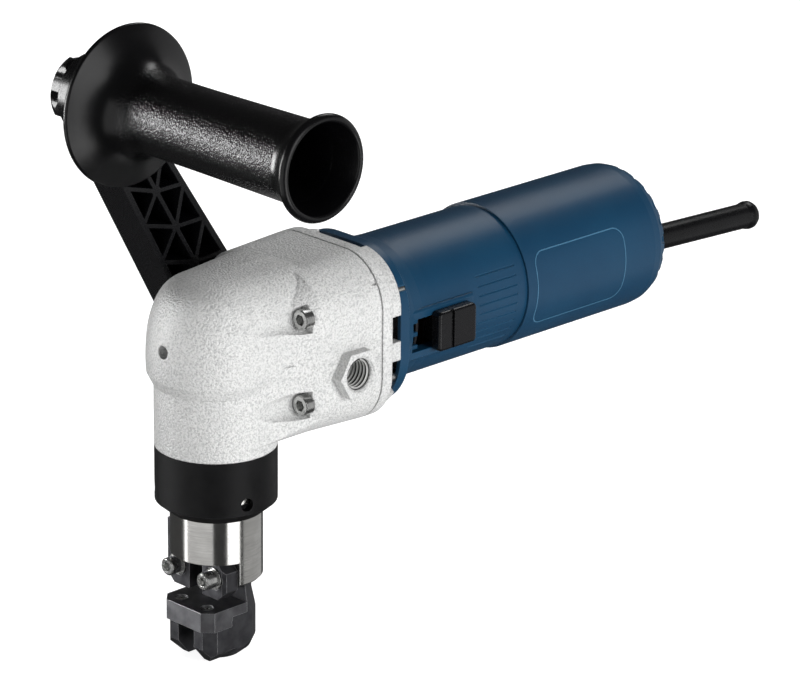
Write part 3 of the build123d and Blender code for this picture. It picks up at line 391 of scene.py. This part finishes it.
def threadTurns():
    # the internal thread of the near boss: one triangular ridge wound down the bore
    bpy.ops.object.select_all(action="DESELECT")
    bpy.ops.mesh.primitive_circle_add(vertices=3, radius=1 * mm, rotation=(0, math.radians(90), 0))
    ridge = bpy.context.object
    ridge.name = "boss_thread"
    settle(ridge)
    tall = (thread["root"] - thread["crest"]) / 1.5
    wide = 0.92 * thread["pitch"] / math.sqrt(3)
    bpy.ops.object.mode_set(mode="EDIT")
    bpy.ops.mesh.select_all(action="SELECT")
    bpy.ops.transform.rotate(value=math.radians(90), orient_axis="X", center_override=(0, 0, 0))
    bpy.ops.object.mode_set(mode="OBJECT")
    tip = max(ridge.data.vertices, key=lambda vertex: abs(vertex.co.z))
    flip = -1 if tip.co.z > 0 else 1      # the crest points at the axis
    bpy.ops.object.mode_set(mode="EDIT")
    bpy.ops.transform.resize(value=(1, wide, flip * tall), center_override=(0, 0, 0))
    bpy.ops.transform.translate(value=(0, 0, (thread["crest"] + tall) * mm))
    bpy.ops.object.mode_set(mode="OBJECT")
    wind = ridge.modifiers.new("wind", "SCREW")
    wind.axis = "Y"
    wind.screw_offset = -thread["pitch"] * mm
    wind.iterations = thread["turns"]
    wind.steps = thread["steps"]
    wind.render_steps = thread["steps"]
    applyModifiers(ridge)
    ridge.location = (thread["x"] * mm, thread["start"] * mm, thread["z"] * mm)
    settle(ridge)
    bpy.ops.object.mode_set(mode="EDIT")
    bpy.ops.mesh.select_all(action="SELECT")
    bpy.ops.mesh.fill_holes(sides=3)
    bpy.ops.object.mode_set(mode="OBJECT")
    cleanUp(ridge, 0.001)
    dress(ridge, cutThread(), "housing", 30)


threadTurns()
print("thread wound")

badge = {
    "x": (161.5, 218.5), "z": (91.5, 125.5), "corner": 6.0,     # outline on the near side
    "line": 0.45, "radius": 33.3, "axisZ": 109.0,               # border's width, and the cover it lies on
    "stand": 0.12, "sink": 0.15}


def roundedBlock(inset):
    # block through the near side, with its four long edges rounded
    x0, x1 = badge["x"][0] + inset, badge["x"][1] - inset
    z0, z1 = badge["z"][0] + inset, badge["z"][1] - inset
    block = newBlock("badge_block", ((x0 + x1) / 2, -30, (z0 + z1) / 2), (x1 - x0, 40, z1 - z0))
    bpy.ops.object.mode_set(mode="EDIT")
    bpy.ops.mesh.select_mode(type="EDGE")
    bpy.ops.mesh.select_all(action="DESELECT")
    bpy.ops.object.mode_set(mode="OBJECT")
    points = block.data.vertices
    for edge in block.data.edges:
        first, second = (points[i].co for i in edge.vertices)
        edge.select = abs(first.y - second.y) > 1 * mm
    bpy.ops.object.mode_set(mode="EDIT")
    bpy.ops.mesh.bevel(offset=(badge["corner"] - inset) * mm, segments=8, affect="EDGES")
    bpy.ops.object.mode_set(mode="OBJECT")
    return block


def coverRound(radius, past):
    # round bar on the motor's axis, reaching past the badge at both ends
    x0, x1 = badge["x"][0] - past, badge["x"][1] + past
    bpy.ops.object.select_all(action="DESELECT")
    bpy.ops.mesh.primitive_cylinder_add(
        vertices=256, radius=radius * mm, depth=(x1 - x0) * mm,
        location=((x0 + x1) / 2 * mm, 0, badge["axisZ"] * mm), rotation=(0, math.radians(90), 0))
    bar = bpy.context.object
    settle(bar)
    return bar


def badgeBorder():
    # blank name-plate field on the rear cover: only its fine raised border line
    border = coverRound(badge["radius"] + badge["stand"], 4)
    border.name = "badge_border"
    cutWith(border, coverRound(badge["radius"] - badge["sink"], 6), "DIFFERENCE")
    cutWith(border, roundedBlock(0), "INTERSECT")
    cutWith(border, roundedBlock(badge["line"]), "DIFFERENCE")
    cleanUp(border)
    # the border line is a lighter blue than the cover: a painted highlight along the raised line
    dress(border, dull("paintedHighlightLine", "3a6681", "2f5a75", 0.45), "housing")


badgeBorder()
print("badge border made")

comb = {
    "place": (84.6, -30.6, 106.0), "size": (1.6, 2.2, 13.6),
    "rows": 7, "toothRows": (0, 3, 6), "tooth": 3.4, "edge": 0.25}


def detentComb():
    # toothed edge that shows at the open end of the switch's slot
    strip = newBlock("slot_detents", comb["place"], comb["size"])
    bottom = comb["place"][2] - comb["size"][2] / 2
    rowHeight = comb["size"][2] / comb["rows"]
    front = comb["place"][0] + comb["size"][0] * 0.45
    bpy.ops.object.mode_set(mode="EDIT")
    for row in range(1, comb["rows"]):
        bpy.ops.mesh.select_all(action="SELECT")
        bpy.ops.mesh.bisect(plane_co=(0, 0, (bottom + rowHeight * row) * mm), plane_no=(0, 0, 1))
    bpy.ops.object.mode_set(mode="OBJECT")
    pickFaces(strip, lambda centre: (
        centre.x > front and int((centre.z - bottom) / rowHeight) in comb["toothRows"]))
    bpy.ops.mesh.extrude_region_move(TRANSFORM_OT_translate={"value": (comb["tooth"] * mm, 0, 0)})
    bpy.ops.object.mode_set(mode="OBJECT")
    soften = strip.modifiers.new("soften", "BEVEL")
    soften.width = comb["edge"] * mm
    soften.segments = 2
    soften.limit_method = "ANGLE"
    applyModifiers(strip)
    cleanUp(strip)
    dress(strip, finishes["blue_plastic"], "housing")


detentComb()
print("switch detents made")


studio = {
    "aim": (0.1, 0.0, 0.1), "panelDistance": 1.5, "domeRadius": 6.0, "world": 0.06,
    "floorSize": 14.0, "floorDrop": 0.3 * mm, "floorGlow": 0.9}


def areaLight(name, place, size, power):
    # soft square lamp aimed at the object; the panels make the reflections, so it has none of its own
    light = bpy.data.lights.new(name, "AREA")
    light.size = size
    light.energy = power
    lamp = bpy.data.objects.new(name, light)
    lamp.location = place
    lamp.rotation_euler = (Vector(studio["aim"]) - Vector(place)).to_track_quat("-Z", "Y").to_euler()
    lamp.visible_glossy = False
    bpy.context.scene.collection.objects.link(lamp)


def glowPaint(name, strength):
    paint, tree, place = newMaterial(name)
    glow = addNode(tree, "ShaderNodeEmission", {"Color": (1, 1, 1, 1), "Strength": strength})
    addNode(tree, "ShaderNodeOutputMaterial", {"Surface": glow.outputs[0]})
    return paint


def card(name, azimuth, elevation, width, height, strength):
    # a lit panel that only reflections show
    turn, rise = math.radians(azimuth), math.radians(elevation)
    away = Vector((math.cos(turn) * math.cos(rise), math.sin(turn) * math.cos(rise), math.sin(rise)))
    bpy.ops.object.select_all(action="DESELECT")
    bpy.ops.mesh.primitive_plane_add(size=1, location=Vector(studio["aim"]) + away * studio["panelDistance"])
    panel = bpy.context.object
    panel.name = name
    panel.scale = (width, height, 1)
    panel.rotation_euler = away.to_track_quat("Z", "Y").to_euler()
    panel.data.materials.append(glowPaint(name + "Glow", strength))
    panel.visible_camera = False
    panel.visible_diffuse = False
    panel.visible_shadow = False


bpy.ops.object.select_all(action="DESELECT")
bpy.ops.mesh.primitive_plane_add(
    size=studio["floorSize"], location=(0, 0, cadBox[0][2] - studio["floorDrop"]))
floor = bpy.context.object
floor.name = "floor"
floorPaint, floorTree, floorPlace = newMaterial("palePaper")
finishMaterial(floorTree, {
    "Base Color": linear("b0b0b0"), "Roughness": 0.9, "Emission Color": (1, 1, 1, 1),
    "Emission Strength": studio["floorGlow"]})
floor.data.materials.append(floorPaint)
floor.visible_glossy = False

bpy.ops.mesh.primitive_uv_sphere_add(
    segments=64, ring_count=32, radius=studio["domeRadius"], location=studio["aim"])
dome = bpy.context.object
dome.name = "backdropDome"
dome.data.materials.append(glowPaint("whitePaperGlow", 1.0))
dome.visible_diffuse = False
dome.visible_glossy = False
dome.visible_shadow = False

# panels: azimuth and elevation seen from the object, width, height, strength
card("leftStrip", 133, 5, 0.32, 0.8, 26.0)      # highlight along the grip
card("lowStrip", 150, -14, 0.14, 1.2, 3.5)      # bright line on the carrier's left
card("leftPanel", 180, -8, 2.2, 1.9, 0.8)
card("rightPanel", 268, -4, 0.85, 2.2, 2.6)     # bright band on the carrier
card("rightGrey", 335, -6, 2.4, 1.6, 0.5)
card("backStrip", 20, 45, 0.7, 0.42, 3.5)       # sheen along the top of the motor

# lamps: place, size, power
areaLight("leftLight", (-1.3, -0.6, 0.3), 0.6, 5)
areaLight("rightLight", (0.25, -1.4, 0.42), 0.6, 25)
areaLight("farLight", (0.2, 1.4, 0.5), 0.9, 9)
areaLight("backLight", (1.0, 0.31, 0.95), 0.7, 7)

world = bpy.data.worlds.new("studioWorld")
world.use_nodes = True
world.node_tree.nodes["Background"].inputs["Color"].default_value = (1, 1, 1, 1)
world.node_tree.nodes["Background"].inputs["Strength"].default_value = studio["world"]
bpy.context.scene.world = world
bpy.context.scene.view_settings.view_transform = "Standard"

view = {"place": (-1.19465, -1.33098, 0.76657), "azimuth": 44.41, "pitch": 20.06, "roll": 0.56, "lens": 202.5}
cameraData = bpy.data.cameras.new("camera")
cameraData.lens = view["lens"]
cameraData.clip_end = 50
camera = bpy.data.objects.new("camera", cameraData)
camera.location = view["place"]
camera.rotation_euler = (math.radians(90 - view["pitch"]), 0, math.radians(-view["azimuth"]))
camera.rotation_euler.rotate_axis("Z", math.radians(view["roll"]))
bpy.context.scene.collection.objects.link(camera)
bpy.context.scene.camera = camera
print("studio ready")
